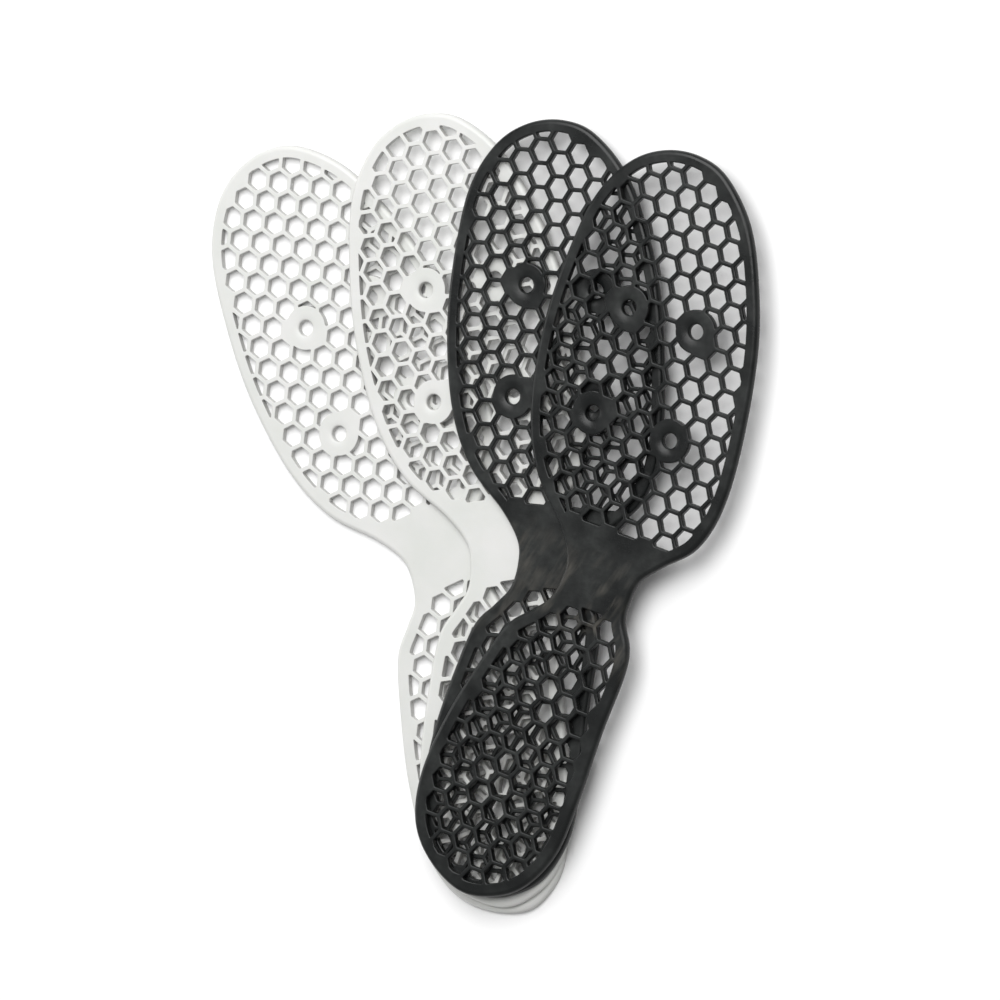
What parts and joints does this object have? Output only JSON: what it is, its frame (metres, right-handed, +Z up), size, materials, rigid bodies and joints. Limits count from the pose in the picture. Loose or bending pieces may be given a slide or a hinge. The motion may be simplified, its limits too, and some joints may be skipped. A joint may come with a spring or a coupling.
{
  "type": "honeycomb sole tray set",
  "caption": "Set of flat sole-shaped trays with open honeycomb lobes, plain waist and round screw bosses, stacked at the heel and fanned out",
  "frame": {"origin": "On the surface that the lowest tray rests on, under the middle of the fan's bounding box.", "axes": "+Z is up, through the stack. +Y runs from the stacked heels towards the toes, along the middle of the fan. +X is to the right, seen from the heels."},
  "size_m": [0.2028, 0.2594, 0.01],
  "materials": {
    "white_plastic": "matt, slightly translucent",
    "black_plastic": "semi-matt with a soft sheen"
  },
  "bodies": {
    "lowest_tray": {"tray_1": "white_plastic"},
    "second_tray": {"tray_2": "white_plastic"},
    "third_tray": {"tray_3": "black_plastic"},
    "top_tray": {"tray_4": "black_plastic"}
  },
  "joints": [
    {"name": "second_tray_lift", "type": "slide", "parent": "lowest_tray", "child": "second_tray", "axis": [0, 0, 1], "range_m": [0, 0.04]},
    {"name": "third_tray_lift", "type": "slide", "parent": "second_tray", "child": "third_tray", "axis": [0, 0, 1], "range_m": [0, 0.04]},
    {"name": "top_tray_lift", "type": "slide", "parent": "third_tray", "child": "top_tray", "axis": [0, 0, 1], "range_m": [0, 0.04]}
  ]
}
